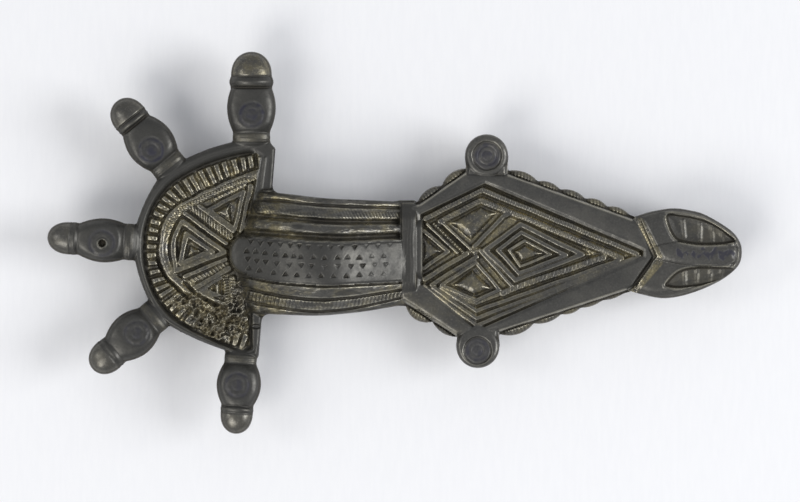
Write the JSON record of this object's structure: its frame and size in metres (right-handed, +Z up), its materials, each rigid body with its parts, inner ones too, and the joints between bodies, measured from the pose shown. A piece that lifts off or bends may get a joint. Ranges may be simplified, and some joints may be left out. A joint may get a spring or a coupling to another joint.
{
  "type": "radiate-headed bow brooch",
  "caption": "Cast silver bow brooch with a half-round knobbed head, arched bow, lozenge foot and animal-head terminal, with a sprung pin and catch behind.",
  "frame": {"origin": "middle of the footprint, on the surface that the brooch lies on", "axes": "+X from the head's knobs to the animal-head terminal, +Y across, +Z up out of the decorated face"},
  "size_m": [0.1, 0.0551, 0.0146],
  "materials": {
    "silver": "satin",
    "iron": "matte",
    "bronze": "satin"
  },
  "bodies": {
    "brooch": {"brooch_body": "silver", "spring_axle": "iron", "spring_coil": "bronze"},
    "pin": {"pin": "bronze"}
  },
  "joints": [
    {"name": "pin_hinge", "type": "hinge", "parent": "brooch", "child": "pin", "pos_m": [-0.02905, -0.001, 0.00091], "axis": [0, 0.848, 0.5299], "range_deg": [0, 25]}
  ]
}
